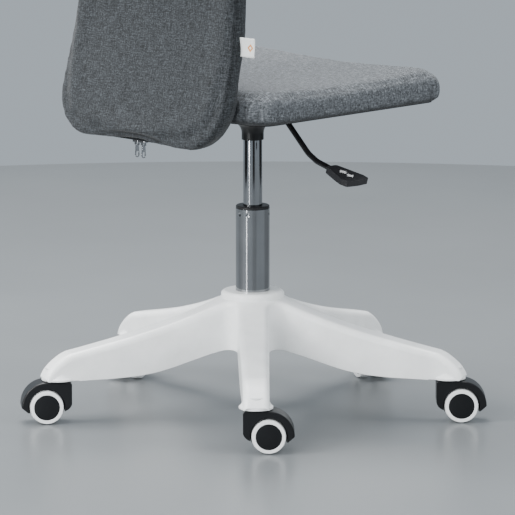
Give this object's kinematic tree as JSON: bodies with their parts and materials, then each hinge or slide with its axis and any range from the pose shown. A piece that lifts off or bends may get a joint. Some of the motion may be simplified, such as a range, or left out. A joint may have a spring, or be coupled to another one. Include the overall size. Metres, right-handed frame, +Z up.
{
  "type": "armless swivel chair",
  "caption": "Armless swivel task chair: star base on hooded twin-wheel casters, gas lift with side lever, square fabric seat and a sleeved lumbar backrest closed by a zip.",
  "frame": {"origin": "on the floor under the centre of the gas-lift column", "axes": "+Z up along the column, the sitter faces -Y, the lever is on the sitter's right at -X"},
  "size_m": [0.6355, 0.6415, 0.868],
  "materials": {
    "base_white": "glossy",
    "steel": "satin",
    "chrome": "polished",
    "bush_black": "matte",
    "buffer_rubber": "matte",
    "plate_black": "satin powder coat",
    "rod_black": "satin powder coat",
    "handle_black": "fine grain",
    "bolt_zinc": "zinc plated",
    "board_wood": "raw plywood",
    "seat_fabric": "heather linen weave",
    "back_fabric": "heather linen weave",
    "dust_cloth": "non-woven",
    "zip_black": "zip tape and coil",
    "zip_metal": "gunmetal",
    "label_white": "satin ribbon",
    "caster_black": "fine grain",
    "wheel_black": "fine grain",
    "tyre_white": "satin"
  },
  "bodies": {
    "base": {"star_base": "base_white", "caster_stems": "steel", "stem_grip_rings": "steel", "column_tube": "chrome", "guide_bush": "bush_black"},
    "spindle": {"piston_rod": "steel", "thrust_race": "steel", "rubber_buffer": "buffer_rubber", "retaining_clip": "steel", "thrust_balls": "steel"},
    "seat": {"gas_cylinder": "chrome", "seat_plate": "plate_black", "lever_pivot_pin": "steel", "mounting_bolts": "bolt_zinc", "tee_nuts": "bolt_zinc", "seat_board": "board_wood", "seat_cushion": "seat_fabric", "dust_cover": "dust_cloth", "back_bracket": "plate_black", "back_board": "board_wood", "back_cushion": "back_fabric", "zip_chain": "zip_black", "back_label": "label_white"},
    "release": {"release_pin": "steel"},
    "lever": {"lever_rod": "rod_black", "lever_handle": "handle_black"},
    "zip_slider_left": {"zip_slider_left": "zip_metal"},
    "zip_slider_right": {"zip_slider_right": "zip_metal"},
    "zip_pull_left": {"zip_pull_left": "zip_metal"},
    "zip_pull_right": {"zip_pull_right": "zip_metal"},
    "caster_1": {"caster_1_housing": "caster_black", "caster_1_axle": "steel"},
    "caster_1_left_wheel": {"caster_1_left_core": "wheel_black", "caster_1_left_tyre": "tyre_white"},
    "caster_1_right_wheel": {"caster_1_right_core": "wheel_black", "caster_1_right_tyre": "tyre_white"},
    "caster_2": {"caster_2_housing": "caster_black", "caster_2_axle": "steel"},
    "caster_2_left_wheel": {"caster_2_left_core": "wheel_black", "caster_2_left_tyre": "tyre_white"},
    "caster_2_right_wheel": {"caster_2_right_core": "wheel_black", "caster_2_right_tyre": "tyre_white"},
    "caster_3": {"caster_3_housing": "caster_black", "caster_3_axle": "steel"},
    "caster_3_left_wheel": {"caster_3_left_core": "wheel_black", "caster_3_left_tyre": "tyre_white"},
    "caster_3_right_wheel": {"caster_3_right_core": "wheel_black", "caster_3_right_tyre": "tyre_white"},
    "caster_4": {"caster_4_housing": "caster_black", "caster_4_axle": "steel"},
    "caster_4_left_wheel": {"caster_4_left_core": "wheel_black", "caster_4_left_tyre": "tyre_white"},
    "caster_4_right_wheel": {"caster_4_right_core": "wheel_black", "caster_4_right_tyre": "tyre_white"},
    "caster_5": {"caster_5_housing": "caster_black", "caster_5_axle": "steel"},
    "caster_5_left_wheel": {"caster_5_left_core": "wheel_black", "caster_5_left_tyre": "tyre_white"},
    "caster_5_right_wheel": {"caster_5_right_core": "wheel_black", "caster_5_right_tyre": "tyre_white"}
  },
  "joints": [
    {"name": "seat_swivel", "type": "hinge", "parent": "base", "child": "spindle", "pos_m": [0, 0, 0.1], "axis": [0, 0, 1], "continuous": true},
    {"name": "seat_lift", "type": "slide", "parent": "spindle", "child": "seat", "axis": [0, 0, 1], "range_m": [-0.088, 0.012]},
    {"name": "lever_lift", "type": "hinge", "parent": "seat", "child": "lever", "pos_m": [-0.04, 0, 0.441], "axis": [0, 1, 0], "range_deg": [0, 5.5], "stiffness_Nm_per_rad": 2, "springref_deg": -6.88},
    {"name": "release_press", "type": "slide", "parent": "seat", "child": "release", "axis": [0, 0, -1], "range_m": [0, 0.0056]},
    {"name": "zip_left_travel", "type": "slide", "parent": "seat", "child": "zip_slider_left", "axis": [1, 0, 0], "range_m": [0, 0.085]},
    {"name": "zip_right_travel", "type": "slide", "parent": "seat", "child": "zip_slider_right", "axis": [-1, 0, 0], "range_m": [0, 0.085]},
    {"name": "zip_left_swing", "type": "hinge", "parent": "zip_slider_left", "child": "zip_pull_left", "pos_m": [0.0066, 0.22619, 0.4167], "axis": [0, -1, 0], "range_deg": [-10, 46]},
    {"name": "zip_right_swing", "type": "hinge", "parent": "zip_slider_right", "child": "zip_pull_right", "pos_m": [-0.0066, 0.22619, 0.4167], "axis": [0, 1, 0], "range_deg": [-10, 46]},
    {"name": "caster_1_swivel", "type": "hinge", "parent": "base", "child": "caster_1", "pos_m": [-0.214, 0.20738, 0.06], "axis": [0, 0, 1], "continuous": true},
    {"name": "caster_1_left_roll", "type": "hinge", "parent": "caster_1", "child": "caster_1_left_wheel", "pos_m": [-0.22673, 0.19465, 0.025], "axis": [0.7071, -0.7071, 0], "continuous": true},
    {"name": "caster_1_right_roll", "type": "hinge", "parent": "caster_1", "child": "caster_1_right_wheel", "pos_m": [-0.22673, 0.19465, 0.025], "axis": [0.7071, -0.7071, 0], "continuous": true},
    {"name": "caster_2_swivel", "type": "hinge", "parent": "base", "child": "caster_2", "pos_m": [-0.26336, -0.13944, 0.06], "axis": [0, 0, 1], "continuous": true},
    {"name": "caster_2_left_roll", "type": "hinge", "parent": "caster_2", "child": "caster_2_left_wheel", "pos_m": [-0.27609, -0.15217, 0.025], "axis": [0.7071, -0.7071, 0], "continuous": true},
    {"name": "caster_2_right_roll", "type": "hinge", "parent": "caster_2", "child": "caster_2_right_wheel", "pos_m": [-0.27609, -0.15217, 0.025], "axis": [0.7071, -0.7071, 0], "continuous": true},
    {"name": "caster_3_swivel", "type": "hinge", "parent": "base", "child": "caster_3", "pos_m": [0.05124, -0.29356, 0.06], "axis": [0, 0, 1], "continuous": true},
    {"name": "caster_3_left_roll", "type": "hinge", "parent": "caster_3", "child": "caster_3_left_wheel", "pos_m": [0.03455, -0.28682, 0.025], "axis": [-0.3746, -0.9272, 0], "continuous": true},
    {"name": "caster_3_right_roll", "type": "hinge", "parent": "caster_3", "child": "caster_3_right_wheel", "pos_m": [0.03455, -0.28682, 0.025], "axis": [-0.3746, -0.9272, 0], "continuous": true},
    {"name": "caster_4_swivel", "type": "hinge", "parent": "base", "child": "caster_4", "pos_m": [0.29503, -0.04199, 0.06], "axis": [0, 0, 1], "continuous": true},
    {"name": "caster_4_left_roll", "type": "hinge", "parent": "caster_4", "child": "caster_4_left_wheel", "pos_m": [0.28976, -0.02477, 0.025], "axis": [-0.9563, -0.2924, 0], "continuous": true},
    {"name": "caster_4_right_roll", "type": "hinge", "parent": "caster_4", "child": "caster_4_right_wheel", "pos_m": [0.28976, -0.02477, 0.025], "axis": [-0.9563, -0.2924, 0], "continuous": true},
    {"name": "caster_5_swivel", "type": "hinge", "parent": "base", "child": "caster_5", "pos_m": [0.1311, 0.26761, 0.06], "axis": [0, 0, 1], "continuous": true},
    {"name": "caster_5_left_roll", "type": "hinge", "parent": "caster_5", "child": "caster_5_left_wheel", "pos_m": [0.14243, 0.2816, 0.025], "axis": [-0.7771, 0.6293, 0], "continuous": true},
    {"name": "caster_5_right_roll", "type": "hinge", "parent": "caster_5", "child": "caster_5_right_wheel", "pos_m": [0.14243, 0.2816, 0.025], "axis": [-0.7771, 0.6293, 0], "continuous": true}
  ],
  "couplings": [
    {"joint": "release_press", "follows": "lever_lift", "m_per_rad": 0.0445}
  ]
}
